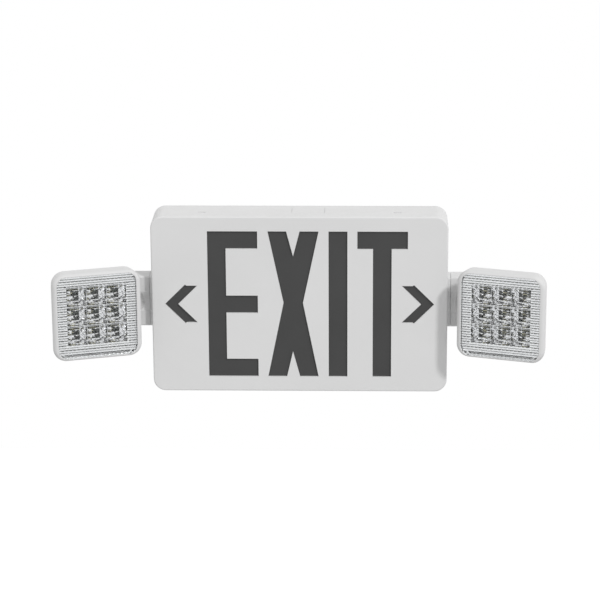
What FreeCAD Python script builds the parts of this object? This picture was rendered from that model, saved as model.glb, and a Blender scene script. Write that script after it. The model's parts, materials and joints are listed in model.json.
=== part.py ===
import FreeCAD, Part
import math
import os
from FreeCAD import Vector

# Emergency exit light: a wall-mounted sign housing with a lamp head on each side.
# Millimetres. The origin is the middle of the wall face, +X right seen from the room,
# +Y into the wall, +Z up. Distances called depth count from the wall face towards the room.

# sign housing
body_width = 297.0
body_height = 183.0
body_depth = 44.5
body_corner = 12.5
cover_wall = 2.2
face_thickness = 2.0
face_edge_round = 1.6
plate_thickness = 2.5
fit_gap = 0.2            # between moulded pieces that slide together
run_gap = 0.3            # between pieces that move against each other
thread_gap = 0.03
board_hole_gap = 0.3
stub_gap = 0.02

# lettered face and what lights it
panel_margin = 4.3       # legend panel to the inside of the cover wall
rib_thickness = 1.6
rib_shares_x = (-0.78, -0.28, 0.28, 0.78)  # rib places along the panel's half width
rib_shares_z = (-0.59, 0.59)
filter_thickness = 1.0
diffuser_thickness = 1.6
tray_depth = 8.4
tray_wall = 1.2
tray_inset = 3.6         # tray edge to panel edge
tray_corner = 4.0
tray_rib_height = 3.0
tray_rib_thickness = 1.2
strip_width = 5.0
strip_thickness = 1.0
strip_end_margin = 18.0
strip_led_pitch = 20.0
strip_led_size = 2.8
strip_led_height = 1.0

# blank on top for a ceiling canopy, and the cover's snap windows
blank_width = 33.0
blank_length = 19.5
blank_offset = 8.6
blank_depth = 19.5
blank_lip = 1.2
snap_offset = 98.0
snap_width = 8.0
snap_height = 2.6
snap_depth = 27.0
snap_bite = 1.3          # how far the hook reaches into its window

# back plate
rim_thickness = 1.8
rim_height = 5.0
plate_edge_round = 0.8
snap_tongue_width = 14.0
entry_diameter = 22.2
box_screw_diameter = 4.4
gang_spacing = 83.3
octagon_spacing = 88.9
slot_travel = 5.0
keyhole_spacing = 170.0
keyhole_height = 8.0
keyhole_head = 9.0
keyhole_neck = 4.6
keyhole_drop = 9.0
post_radius = 3.0
post_side_inset = 28.5
post_end_inset = 21.5

# circuit board on the back plate
board_width = 88.0
board_height = 40.0
board_thickness = 1.6
board_side_inset = 66.5  # side of the housing to the middle of the board
board_top_inset = 46.5
board_standoff = 7.9
board_hole_inset = 4.0
transformer_width = 30.0
transformer_height = 26.0
transformer_depth = 16.0
transformer_inset = 10.5
core_share = 0.55        # laminated core's part of the transformer's depth
winding_width = 18.0
winding_height = 18.0
winding_round = 2.0
capacitor_radius = 4.0
capacitor_height = 13.0
capacitor_pitch = 10.5
capacitor_inset = 6.5
capacitor_round = 0.8
component_offset = 6.0   # middle of the board to the first capacitor and connector
relay_size = (14.0, 11.0, 9.5)
relay_offset = 16.0
connector_size = (8.0, 6.0, 7.0)
connector_wall = 1.0
connector_inset = 1.0
connector_pitch = 12.0
terminal_size = (27.0, 12.0, 13.0)
terminal_centre_x = -38.0
terminal_centre_z = 28.0
terminal_screw_pitch = 8.0
terminal_screw_radius = 2.2
terminal_screw_depth = 5.0
terminal_screw_rise = 1.5
terminal_wire_radius = 1.6

# battery
cell_diameter = 14.3
cell_length = 49.5
cell_count = 3
cell_gap = 0.8
cell_cap_radius = 3.0
battery_centre_x = -32.0
battery_bottom_inset = 34.5
battery_depth = 14.5
saddle_width = 8.0
saddle_wall = 2.4
saddle_end_inset = 18.0
strap_width = 9.0
strap_thickness = 1.2
strap_foot = 7.0

# test button and charge lamp in the underside
button_x = 66.0
lamp_x = 82.0
control_depth = 17.5
button_radius = 3.8
button_flange = 5.2
button_flange_height = 1.4
button_edge_round = 0.6
button_recess = 0.3
button_travel = 1.5
button_rod_radius = 1.8
button_rod_height = 3.4
switch_size = 6.2
switch_height = 4.0
plunger_radius = 1.6
lamp_radius = 2.3
lamp_flange = 1.2
lamp_flange_height = 1.0
lamp_pipe_height = 7.6
lamp_edge_round = 0.8
charge_led_radius = 1.5
control_board_inset = 4.0
control_board_front = 7.0    # board edges to the line of the button and the lamp
control_board_back = 9.0
ledge_width = 46.0
ledge_reach = 23.0
ledge_thickness = 2.0
gusset_thickness = 1.5
gusset_height = 8.0
gusset_share = 0.7       # gusset's part of the ledge's reach
ledge_rise = 15.0        # underside of the ledge above the underside of the housing

# swivel arms
arm_depth_centre = 22.0
arm_height = 51.8
arm_depth = 22.2
arm_edge_round = 1.6
collar_length = 3.0
spigot_radius = 8.0
pin_offset = 218.5       # yaw pin from the middle of the sign
slot_height = 20.6
dish_offset = 3.0        # start of the arm to the edge of its dish
dish_depth = 6.5
slot_offset = 12.0       # edge of the dish to the open slot
channel_depth = 2.5
stub_radius = 5.0
stub_bore = 3.2
bore_clearance = 0.08
washer_radius = 8.2
washer_thickness = 1.0
nut_across_flats = 15.0
nut_thickness = 4.0
stub_spare = 1.4
pin_radius = 2.5
pin_clearance = 0.05
pin_recess = 0.8

# lamp heads
head_yaw = 17.5          # each head is turned this far towards the middle
head_size = 89.3
head_corner = 13.0
pin_to_lens = 65.7
bezel_depth = 10.0
bezel_round = 4.3
head_flat = 6.0          # full-size edge before the side walls lean in
side_lean = 1.9
shell_depth = 6.5
shoulder_depth = 7.5
shoulder_inset = 3.0
shoulder_round = 8.0
dome_depth = 15.7
dome_end = 34.0
dome_end_corner = 8.0
dome_round = 3.0
head_wall = 2.2
lip_height = 3.5
lip_thickness = 1.4
band_depth = 2.0
neck_width = 16.0
neck_root = 3.0
knuckle_radius = 9.5
bezel_frame = 5.0        # outside of the bezel to its mouth
lens_corner = 8.5
bezel_lip = 3.0
lens_flange = 1.5
flute_pitch = 5.0
flute_rise = 0.9
cup_margin = 8.55        # edge of the lens to the outer bowls
cup_wall = 0.8
cup_depth = 10.6
cup_spread = 2.5         # mouth circle beyond its square cell
cup_waist_radius = 8.9
cup_waist = 6.0
cup_floor_radius = 2.7
reflector_corner = 2.0
reflector_floor = 2.2
reflector_rim = 1.2
lamp_board_gap = 4.45
lamp_board_corner = 8.0
lamp_board_thickness = 1.6
lamp_led_size = 3.0
lamp_led_height = 1.4
lamp_screw_inset = 5.5
screw_radius = 1.2
screw_head_radius = 2.4
screw_head_height = 1.6
screw_length = 5.0
boss_radius = 2.8

half_width = body_width / 2
half_height = body_height / 2
inner_half_width = half_width - cover_wall
inner_half_height = half_height - cover_wall
panel_half_width = inner_half_width - panel_margin
panel_half_height = inner_half_height - panel_margin
panel_front = -(body_depth - face_thickness)
diffuser_front = panel_front + filter_thickness
tray_front = diffuser_front + diffuser_thickness
tray_back = tray_front + tray_depth
tray_half_width = panel_half_width - tray_inset
tray_half_height = panel_half_height - tray_inset
post_x = half_width - post_side_inset
post_z = half_height - post_end_inset
board_centre_x = half_width - board_side_inset
board_centre_z = half_height - board_top_inset
battery_centre_z = battery_bottom_inset - half_height
arm_y = -arm_depth_centre
collar_end = half_width + collar_length
arm_start = collar_end + run_gap
dish_end = arm_start + dish_offset
slot_end = dish_end + slot_offset
board_front = -(plate_thickness + board_standoff + board_thickness)
ledge_bottom = -half_height + ledge_rise
lens_front = -pin_to_lens
bezel_back = lens_front + bezel_depth
flat_back = lens_front + head_flat
shell_back = bezel_back + shell_depth
shoulder_back = shell_back + shoulder_depth
dome_back = shoulder_back + dome_depth
head_half = head_size / 2
lens_back = lens_front + bezel_lip + lens_flange
lens_size = head_size - 2 * bezel_frame
cup_pitch = (lens_size - 2 * (cup_margin + cup_wall)) / 3
cup_mouth_radius = cup_pitch / 2 + cup_spread
lamp_board_size = head_size - 2 * (head_wall + lamp_board_gap)
reflector_back = lens_back + cup_depth + reflector_floor
lamp_board_back = reflector_back + lamp_board_thickness


def box(x0, x1, y0, y1, z0, z1):
    return Part.makeBox(x1 - x0, y1 - y0, z1 - z0, Vector(x0, y0, z0))


def centred_box(centre, size):
    x, y, z = centre
    a, b, c = size
    return box(x - a / 2, x + a / 2, y - b / 2, y + b / 2, z - c / 2, z + c / 2)


def rod(start, direction, radius, length):
    return Part.makeCylinder(radius, length, Vector(*start), Vector(*direction))


def rounded_wire(half_x, half_z, corner, y):
    """Rectangle with round corners in a plane parallel to the wall."""
    x, z, r = half_x, half_z, corner
    k = r * (1 - math.sqrt(0.5))
    sides = [((x - r, -z), (r - x, -z)), ((-x, r - z), (-x, z - r)),
             ((r - x, z), (x - r, z)), ((x, z - r), (x, r - z))]
    bends = [(k - x, k - z), (k - x, z - k), (x - k, z - k), (x - k, k - z)]
    edges = []
    for i, (a, b) in enumerate(sides):
        start, end = Vector(a[0], y, a[1]), Vector(b[0], y, b[1])
        after = sides[(i + 1) % 4][0]
        edges.append(Part.LineSegment(start, end).toShape())
        middle = Vector(bends[i][0], y, bends[i][1])
        edges.append(Part.Arc(end, middle, Vector(after[0], y, after[1])).toShape())
    return Part.Wire(edges)


def slab(half_x, half_z, corner, y0, y1):
    """Plate with round corners between two depths."""
    return Part.Face(rounded_wire(half_x, half_z, corner, y0)).extrude(Vector(0, y1 - y0, 0))


def tray_of(half_x, half_z, corner, y0, y1, wall, floor):
    """Open-fronted tray with its floor at y1."""
    outer = slab(half_x, half_z, corner, y0, y1)
    return outer.cut(slab(half_x - wall, half_z - wall, max(corner - wall, 0.5), y0, y1 - floor))


def edges_at(shape, y):
    """Edges that lie in the plane at y."""
    boxes = [(edge, edge.BoundBox) for edge in shape.Edges]
    return [edge for edge, b in boxes if abs(b.YMin - y) < 1e-4 and abs(b.YMax - y) < 1e-4]


def merge(first, *others):
    whole = first
    for other in others:
        whole = whole.fuse(other)
    return whole.removeSplitter()


def cut_all(shape, tools):
    for tool in tools:
        shape = shape.cut(tool)
    return shape


def snap_places():
    return [(x, side) for x in (-snap_offset, snap_offset) for side in (-1, 1)]


def post_places():
    return [(x, z) for x in (-post_x, 0.0, post_x) for z in (-post_z, post_z)]


# ---- sign housing ----

def front_cover():
    back = -plate_thickness
    shell = slab(half_width, half_height, body_corner, -body_depth, back)
    shell = shell.makeFillet(face_edge_round, edges_at(shell, -body_depth))
    hollow = slab(inner_half_width, inner_half_height, body_corner - cover_wall,
                  -(body_depth - face_thickness), back)
    shell = shell.cut(hollow)
    cuts = []
    for side in (-1, 1):
        cuts.append(rod((side * (inner_half_width - 1), arm_y, 0), (side, 0, 0),
                        spigot_radius + fit_gap, cover_wall + 2))
    for x, side in snap_places():
        z = side * (half_height - cover_wall / 2)
        cuts.append(centred_box((x, -snap_depth, z), (snap_width, snap_height, cover_wall + 2)))
    z = half_height - cover_wall / 2
    cuts.append(centred_box((blank_offset, -blank_depth, z), (blank_width, blank_length, cover_wall + 2)))
    for x, radius in ((button_x, button_radius + run_gap), (lamp_x, lamp_radius + fit_gap)):
        cuts.append(rod((x, -control_depth, -half_height - 1), (0, 0, 1), radius, cover_wall + 2))
    shell = cut_all(shell, cuts)
    return shell.fuse(panel_ribs()).removeSplitter()


def panel_ribs():
    """Ribs inside the cover that centre the legend panel."""
    ribs = []
    start, end = panel_front, tray_front
    half = rib_thickness / 2
    root = cover_wall / 2
    for side in (-1, 1):
        for x in [share * panel_half_width for share in rib_shares_x]:
            z0, z1 = sorted((side * (panel_half_height + fit_gap), side * (inner_half_height + root)))
            ribs.append(box(x - half, x + half, start, end, z0, z1))
        for z in [share * panel_half_height for share in rib_shares_z]:
            x0, x1 = sorted((side * (panel_half_width + fit_gap), side * (inner_half_width + root)))
            ribs.append(box(x0, x1, start, end, z - half, z + half))
    return ribs


def canopy_blank():
    """Flush blank in the top opening, held by a lip inside the wall."""
    gap = fit_gap
    top = half_height
    plate = centred_box((blank_offset, -blank_depth, top - cover_wall / 2),
                        (blank_width - 2 * gap, blank_length - 2 * gap, cover_wall))
    lip = centred_box((blank_offset, -blank_depth, top - cover_wall - blank_lip / 2),
                      (blank_width + 2 * blank_lip, blank_length + 2 * blank_lip, blank_lip))
    return merge(plate, lip)


def legend_panel():
    corner = body_corner - cover_wall - panel_margin
    return slab(panel_half_width, panel_half_height, corner, panel_front, diffuser_front)


def diffuser_panel():
    corner = body_corner - cover_wall - panel_margin
    return slab(panel_half_width, panel_half_height, corner, diffuser_front, tray_front)


def light_tray():
    tray = tray_of(tray_half_width, tray_half_height, tray_corner, tray_front, tray_back,
                   tray_wall, tray_wall)
    half = tray_rib_thickness / 2
    ribs = [box(x - half, x + half, tray_back - tray_rib_height, tray_back, -post_z, post_z)
            for x in (-post_x, 0.0, post_x)]
    return merge(tray, *ribs)


def led_strip(side):
    z0 = side * (tray_half_height - tray_wall)
    z1 = z0 - side * strip_thickness
    half = tray_half_width - strip_end_margin
    middle = (tray_front + tray_back - tray_wall) / 2
    low, high = sorted((z0, z1))
    return box(-half, half, middle - strip_width / 2, middle + strip_width / 2, low, high)


def strip_leds():
    middle = (tray_front + tray_back - tray_wall) / 2
    count = int((2 * (tray_half_width - strip_end_margin) - strip_led_size) / strip_led_pitch) + 1
    leds = []
    for side in (-1, 1):
        z = side * (tray_half_height - tray_wall - strip_thickness - strip_led_height / 2)
        for i in range(count):
            x = (i - (count - 1) / 2) * strip_led_pitch
            leds.append(centred_box((x, middle, z), (strip_led_size, strip_led_size, strip_led_height)))
    return Part.makeCompound(leds)


# ---- back plate ----

def keyhole(x):
    y = -plate_thickness - 1
    depth = plate_thickness + 2
    head = rod((x, y, keyhole_height), (0, 1, 0), keyhole_head / 2, depth)
    neck = rod((x, y, keyhole_height + keyhole_drop), (0, 1, 0), keyhole_neck / 2, depth)
    way = box(x - keyhole_neck / 2, x + keyhole_neck / 2, y, y + depth,
              keyhole_height, keyhole_height + keyhole_drop)
    return head.fuse(neck).fuse(way)


def screw_slot(x, z, along_x):
    y = -plate_thickness - 1
    depth = plate_thickness + 2
    dx, dz = (slot_travel / 2, 0) if along_x else (0, slot_travel / 2)
    r = box_screw_diameter / 2
    ends = [rod((x + s * dx, y, z + s * dz), (0, 1, 0), r, depth) for s in (-1, 1)]
    reach_x, reach_z = (dx, r) if along_x else (r, dz)
    return ends[0].fuse(ends[1]).fuse(box(x - reach_x, x + reach_x, y, y + depth, z - reach_z, z + reach_z))


def snap_tongue(x, side):
    """Springy tongue on the rim, with a hook in the cover's window."""
    outer = inner_half_height - fit_gap
    end = -(snap_depth + snap_height)
    z0, z1 = sorted((side * outer, side * (outer - rim_thickness)))
    tongue = box(x - snap_tongue_width / 2, x + snap_tongue_width / 2, end, -plate_thickness, z0, z1)
    h0, h1 = sorted((side * (outer - rim_thickness / 2), side * (outer + snap_bite)))
    half = snap_width / 2 - fit_gap
    hook = box(x - half, x + half, -snap_depth - snap_height / 2 + fit_gap,
               -snap_depth + snap_height / 2 - fit_gap, h0, h1)
    return tongue.fuse(hook)


def battery_saddle(x):
    """Cradle that the cells lie in."""
    z = battery_centre_z
    half = cell_diameter / 2 + saddle_wall
    block = box(x - saddle_width / 2, x + saddle_width / 2, -battery_depth, -plate_thickness,
                z - half, z + half)
    hollow = rod((x - saddle_width, -battery_depth, z), (1, 0, 0), cell_diameter / 2 + fit_gap,
                 2 * saddle_width)
    return block.cut(hollow)


def back_plate():
    front = -plate_thickness
    plate = slab(half_width, half_height, body_corner, front, 0)
    plate = plate.makeFillet(plate_edge_round, edges_at(plate, 0))
    corner = body_corner - cover_wall - fit_gap
    half_x, half_z = inner_half_width - fit_gap, inner_half_height - fit_gap
    rim = slab(half_x, half_z, corner, front - rim_height, front)
    rim = rim.cut(slab(half_x - rim_thickness, half_z - rim_thickness, corner - rim_thickness,
                       front - rim_height, front))
    solids = [rim]
    solids += [snap_tongue(x, side) for x, side in snap_places()]
    solids += [rod((x, front, z), (0, -1, 0), post_radius, -tray_back - plate_thickness)
               for x, z in post_places()]
    solids += [rod((x, front, z), (0, -1, 0), post_radius, board_standoff) for x, z in board_holes()]
    reach = cell_length * cell_count / 2 - saddle_end_inset
    solids += [battery_saddle(battery_centre_x + s * reach) for s in (-1, 1)]
    middle = (button_x + lamp_x) / 2
    ledge_top = ledge_bottom + ledge_thickness
    solids.append(box(middle - ledge_width / 2, middle + ledge_width / 2, front - ledge_reach, front,
                      ledge_bottom, ledge_top))
    for s in (-1, 1):
        x = middle + s * (ledge_width / 2 - gusset_thickness)
        solids.append(box(x - gusset_thickness / 2, x + gusset_thickness / 2,
                          front - ledge_reach * gusset_share, front, ledge_top, ledge_top + gusset_height))
    whole = merge(plate, *solids)
    cuts = [rod((0, front - 1, 0), (0, 1, 0), entry_diameter / 2, plate_thickness + 2)]
    cuts += [screw_slot(0, s * gang_spacing / 2, False) for s in (-1, 1)]
    cuts += [screw_slot(s * octagon_spacing / 2, 0, True) for s in (-1, 1)]
    cuts += [keyhole(s * keyhole_spacing / 2) for s in (-1, 1)]
    cuts += [rod((x, front - board_standoff, z), (0, 1, 0), screw_radius + thread_gap, screw_length)
             for x, z in board_holes()]
    return cut_all(whole, cuts)


# ---- electronics ----

def board_holes():
    dx = board_width / 2 - board_hole_inset
    dz = board_height / 2 - board_hole_inset
    return [(board_centre_x + i * dx, board_centre_z + j * dz) for i in (-1, 1) for j in (-1, 1)]


def main_board():
    y0, y1 = board_front, board_front + board_thickness
    board = box(board_centre_x - board_width / 2, board_centre_x + board_width / 2, y0, y1,
                board_centre_z - board_height / 2, board_centre_z + board_height / 2)
    holes = [rod((x, y0 - 1, z), (0, 1, 0), screw_radius + board_hole_gap, board_thickness + 2)
             for x, z in board_holes()]
    return cut_all(board, holes)


def screw(x, y, z):
    """Pan-head screw driven towards +Y, with its head's underside at y."""
    head = rod((x, y, z), (0, -1, 0), screw_head_radius, screw_head_height)
    return head.fuse(rod((x, y, z), (0, 1, 0), screw_radius, screw_length)).removeSplitter()


def board_screws():
    return Part.makeCompound([screw(x, board_front, z) for x, z in board_holes()])


def transformer():
    """Laminated core round a wound bobbin."""
    x = board_centre_x - board_width / 2 + transformer_inset + transformer_width / 2
    y = board_front - transformer_depth / 2
    middle = (x, y, board_centre_z)
    core = centred_box(middle, (transformer_width, transformer_depth * core_share, transformer_height))
    bobbin = centred_box(middle, (winding_width, transformer_depth, winding_height))
    corners = [e for e in bobbin.Edges if abs(e.BoundBox.ZLength - winding_height) < 1e-3]
    return merge(core, bobbin.makeFillet(winding_round, corners))


def capacitors():
    z = board_centre_z + board_height / 2 - capacitor_inset
    x0 = board_centre_x + component_offset
    cans = []
    for i in range(3):
        can = rod((x0 + i * capacitor_pitch, board_front, z), (0, -1, 0), capacitor_radius, capacitor_height)
        cans.append(can.makeFillet(capacitor_round, edges_at(can, board_front - capacitor_height)))
    return Part.makeCompound(cans)


def relay():
    a, b, c = relay_size
    return centred_box((board_centre_x + relay_offset, board_front - b / 2, board_centre_z), (a, b, c))


def board_connectors():
    a, b, c = connector_size
    z = board_centre_z - board_height / 2 + c / 2 + connector_inset
    plugs = []
    for i in range(3):
        x = board_centre_x + component_offset + i * connector_pitch
        block = centred_box((x, board_front - b / 2, z), (a, b, c))
        mouth = centred_box((x, board_front - b, z), (a - 2 * connector_wall, b, c - 2 * connector_wall))
        plugs.append(block.cut(mouth))
    return Part.makeCompound(plugs)


def terminal_block():
    """Three-way screw terminal on the back plate for the supply wires."""
    a, b, c = terminal_size
    front = -plate_thickness - b
    block = centred_box((terminal_centre_x, front + b / 2, terminal_centre_z), (a, b, c))
    cuts = []
    for i in (-1, 0, 1):
        x = terminal_centre_x + i * terminal_screw_pitch
        cuts.append(rod((x, front, terminal_centre_z + terminal_screw_rise), (0, 1, 0),
                        terminal_screw_radius, terminal_screw_depth))
        cuts.append(rod((x, front + b * 2 / 3, terminal_centre_z - c / 2), (0, 0, 1),
                        terminal_wire_radius, c / 2))
    return cut_all(block, cuts)


def battery_pack():
    """Three cells end to end."""
    start = battery_centre_x - cell_count * cell_length / 2
    cells = []
    for i in range(cell_count):
        x = start + i * cell_length
        cell = rod((x + cell_gap / 2, -battery_depth, battery_centre_z), (1, 0, 0), cell_diameter / 2,
                   cell_length - cell_gap)
        cap = rod((x - cell_gap / 2, -battery_depth, battery_centre_z), (1, 0, 0), cell_cap_radius, cell_gap)
        cells += [cap, cell]
    return merge(*cells)


def battery_strap():
    """Strap over the cells with two feet on the back plate."""
    x, z = battery_centre_x, battery_centre_z
    inner = cell_diameter / 2 + fit_gap
    outer = inner + strap_thickness
    back = -plate_thickness
    loop = rod((x - strap_width / 2, -battery_depth, z), (1, 0, 0), outer, strap_width)
    legs = box(x - strap_width / 2, x + strap_width / 2, -battery_depth, back, z - outer, z + outer)
    reach = outer + strap_foot
    foot = box(x - strap_width / 2, x + strap_width / 2, back - strap_thickness, back, z - reach, z + reach)
    hollow = rod((x - strap_width, -battery_depth, z), (1, 0, 0), inner, 2 * strap_width)
    way = box(x - strap_width, x + strap_width, -battery_depth, back, z - inner, z + inner)
    return merge(loop, legs, foot).cut(hollow).cut(way)


# ---- test button and charge lamp ----

def test_button():
    bottom = -half_height + button_recess
    flange = -half_height + cover_wall + run_gap
    cap = rod((button_x, -control_depth, bottom), (0, 0, 1), button_radius, flange - bottom)
    cap = cap.makeFillet(button_edge_round, [e for e in cap.Edges if e.BoundBox.ZMax < bottom + 0.01])
    collar = rod((button_x, -control_depth, flange), (0, 0, 1), button_flange, button_flange_height)
    stem = rod((button_x, -control_depth, flange + button_flange_height), (0, 0, 1), button_rod_radius,
               button_rod_height)
    return merge(cap, collar, stem)


def button_top():
    return -half_height + cover_wall + run_gap + button_flange_height + button_rod_height


def control_board():
    """Small board under the back plate's ledge that carries the switch and the charge lamp."""
    middle = (button_x + lamp_x) / 2
    half = ledge_width / 2 - control_board_inset
    return box(middle - half, middle + half, -control_depth - control_board_front,
               -control_depth + control_board_back, ledge_bottom - board_thickness, ledge_bottom)


def test_switch():
    top = ledge_bottom - board_thickness
    half = switch_size / 2
    body = box(button_x - half, button_x + half, -control_depth - half, -control_depth + half,
               top - switch_height, top)
    tip = button_top() + button_travel + run_gap
    plunger = rod((button_x, -control_depth, tip), (0, 0, 1), plunger_radius, top - switch_height - tip)
    return merge(body, plunger)


def charge_lamp():
    """Light pipe in the underside, pressed on the small lamp above it."""
    bottom = -half_height + button_recess
    pipe = rod((lamp_x, -control_depth, bottom), (0, 0, 1), lamp_radius, lamp_pipe_height)
    pipe = pipe.makeFillet(lamp_edge_round, [e for e in pipe.Edges if e.BoundBox.ZMax < bottom + 0.01])
    flange = rod((lamp_x, -control_depth, -half_height + cover_wall), (0, 0, 1), lamp_radius + lamp_flange,
                 lamp_flange_height)
    return merge(pipe, flange)


def charge_led():
    start = -half_height + button_recess + lamp_pipe_height
    end = ledge_bottom - board_thickness
    return rod((lamp_x, -control_depth, start), (0, 0, 1), charge_led_radius, end - start)


# ---- right-hand swivel arm; the left one mirrors it ----

def arm_section(x0, x1):
    """Bar of the arm's section, with its long edges rounded."""
    bar = box(x0, x1, arm_y - arm_depth / 2, arm_y + arm_depth / 2, -arm_height / 2, arm_height / 2)
    return bar.makeFillet(arm_edge_round, [e for e in bar.Edges if e.BoundBox.XLength > (x1 - x0) * 0.9])


def groove_radius(depth):
    """Radius of a round groove that is as wide as the slot."""
    half = slot_height / 2
    return (half ** 2 + depth ** 2) / (2 * depth)


def front_groove(x0, x1, depth):
    """Round groove along the front of the collar and the arm."""
    radius = groove_radius(depth)
    return rod((x0, arm_y - arm_depth / 2 + depth - radius, 0), (1, 0, 0), radius, x1 - x0)


def arm_dish():
    """Round-ended hollow that runs out into the open slot."""
    middle = dish_end + slot_height / 2
    radius = groove_radius(dish_depth)
    end = Part.makeSphere(radius)
    end.translate(Vector(middle, arm_y - arm_depth / 2 + dish_depth - radius, 0))
    return merge(end, front_groove(middle, slot_end + slot_height / 2, dish_depth))


def collar():
    plate = arm_section(half_width, collar_end)
    plate = plate.cut(front_groove(half_width - 1, collar_end + 1, channel_depth))
    spigot = rod((inner_half_width, arm_y, 0), (1, 0, 0), spigot_radius, cover_wall)
    bore = rod((inner_half_width - 1, arm_y, 0), (1, 0, 0), stub_radius + bore_clearance,
               cover_wall + collar_length + 2)
    return merge(plate, spigot).cut(bore)


def arm():
    end = pin_offset
    half = arm_depth / 2
    front, back = arm_y - half, arm_y + half
    outline = Part.Wire([
        Part.LineSegment(Vector(end, front, 0), Vector(arm_start, front, 0)).toShape(),
        Part.LineSegment(Vector(arm_start, front, 0), Vector(arm_start, back, 0)).toShape(),
        Part.LineSegment(Vector(arm_start, back, 0), Vector(end, back, 0)).toShape(),
        Part.Arc(Vector(end, back, 0), Vector(end + half, arm_y, 0), Vector(end, front, 0)).toShape()])
    bar = Part.Face(outline).extrude(Vector(0, 0, arm_height))
    bar.translate(Vector(0, 0, -arm_height / 2))
    rims = [e for e in bar.Edges if e.BoundBox.ZLength < 1e-6 and e.BoundBox.XMax > arm_start + 1]
    bar = bar.makeFillet(arm_edge_round, rims)
    slot_radius = slot_height / 2
    middle = slot_end + slot_radius
    cuts = [rod((middle, front - 1, 0), (0, 1, 0), slot_radius, arm_depth + 2),
            box(middle, end + half + 1, front - 1, back + 1, -slot_radius, slot_radius),
            front_groove(arm_start - 1, middle, channel_depth),
            arm_dish(),
            rod((end, arm_y, -arm_height / 2 - 1), (0, 0, 1), pin_radius + pin_clearance, arm_height + 2)]
    bar = cut_all(bar, cuts)
    stub = rod((stub_start(), arm_y, 0), (1, 0, 0), stub_radius, arm_start + 1 - stub_start())
    bar = merge(bar, stub)
    return bar.cut(rod((stub_start() - 1, arm_y, 0), (1, 0, 0), stub_bore, slot_end + 2 - stub_start()))


def stub_start():
    return inner_half_width - run_gap - washer_thickness - nut_thickness - stub_spare


def swivel_washer():
    x = inner_half_width - run_gap - washer_thickness
    disc = rod((x, arm_y, 0), (1, 0, 0), washer_radius, washer_thickness)
    return disc.cut(rod((x - 1, arm_y, 0), (1, 0, 0), stub_radius + stub_gap, washer_thickness + 2))


def swivel_nut():
    x = inner_half_width - run_gap - washer_thickness - nut_thickness
    radius = nut_across_flats / math.sqrt(3)
    corners = [Vector(x, arm_y + radius * math.cos(math.radians(60 * i)),
                      radius * math.sin(math.radians(60 * i))) for i in range(7)]
    block = Part.Face(Part.makePolygon(corners)).extrude(Vector(nut_thickness, 0, 0))
    return block.cut(rod((x - 1, arm_y, 0), (1, 0, 0), stub_radius + stub_gap, nut_thickness + 2))


def yaw_pin():
    half = arm_height / 2 - pin_recess
    return rod((pin_offset, arm_y, -half), (0, 0, 1), pin_radius, 2 * half)


# ---- right-hand lamp head, made facing straight ahead with the yaw pin at the origin ----

def set_head(shape):
    """Turn a head piece to its yaw and put it on its pin."""
    shape = shape.copy()
    shape.rotate(Vector(0, 0, 0), Vector(0, 0, 1), -head_yaw)
    shape.translate(Vector(pin_offset, arm_y, 0))
    return shape


def ruled(front, back):
    return Part.makeLoft([front, back], True, True)


def head_ring(inset, y):
    """Outline of the head's walls; the two sides lean in behind the flat edge."""
    lean = side_lean * max(0.0, y - flat_back) / (shell_back - flat_back)
    return rounded_wire(head_half - lean - inset, head_half - inset, head_corner - inset, y)


def head_walls(inset, y0, y1):
    return ruled(head_ring(inset, y0), head_ring(inset, y1))


def head_back(inset):
    """Walls behind the bezel, shoulder and dome, closed at the rear."""
    half_x = head_half - side_lean - shoulder_inset - inset
    half_z = head_half - shoulder_inset - inset
    end = dome_end / 2 - inset
    shoulder = rounded_wire(half_x, half_z, head_corner - shoulder_inset - inset, shoulder_back)
    rear = rounded_wire(end, end, dome_end_corner - inset, dome_back - inset)
    return merge(head_walls(inset, bezel_back, shell_back),
                 ruled(head_ring(inset, shell_back), shoulder), ruled(shoulder, rear))


def head_shell():
    """Rear housing with the neck that swings in the arm."""
    w = head_wall
    body = head_back(0)
    body = body.makeFillet(shoulder_round, edges_at(body, shell_back))
    body = body.makeFillet(dome_round, edges_at(body, shoulder_back) + edges_at(body, dome_back))
    neck_half = slot_height / 2 - run_gap
    neck = box(-neck_width / 2, neck_width / 2, dome_back - neck_root, 0, -neck_half, neck_half)
    knuckle = rod((0, 0, -neck_half), (0, 0, 1), knuckle_radius, 2 * neck_half)
    outer = merge(body, neck, knuckle).cut(head_back(w))
    bosses = []
    for x, z in lamp_screw_places():
        boss = rod((x, lamp_board_back, z), (0, 1, 0), boss_radius, dome_back - lamp_board_back)
        bosses.append(boss.common(body))
    lip_front = bezel_back - lip_height
    band_back = bezel_back + band_depth
    lip_mouth = head_walls(w + fit_gap + lip_thickness, lip_front, band_back)
    lip = head_walls(w + fit_gap, lip_front, band_back).cut(lip_mouth)
    band = head_walls(0, bezel_back, band_back).cut(lip_mouth)
    whole = merge(outer, lip, band, *bosses)
    cuts = [rod((0, 0, -neck_half - 1), (0, 0, 1), pin_radius + pin_clearance, 2 * neck_half + 2)]
    cuts += [rod((x, lamp_board_back, z), (0, 1, 0), screw_radius + thread_gap, screw_length)
             for x, z in lamp_screw_places()]
    return cut_all(whole, cuts)


def head_bezel():
    """Front frame that traps the lens."""
    frame = merge(head_walls(0, lens_front, flat_back), head_walls(0, flat_back, bezel_back))
    frame = frame.makeFillet(bezel_round, edges_at(frame, lens_front))
    inner = merge(head_walls(head_wall, lens_front + bezel_lip, flat_back),
                  head_walls(head_wall, flat_back, bezel_back))
    frame = frame.cut(inner)
    mouth = lens_size / 2
    return frame.cut(slab(mouth, mouth, lens_corner, lens_front - 1, lens_front + bezel_lip))


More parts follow.
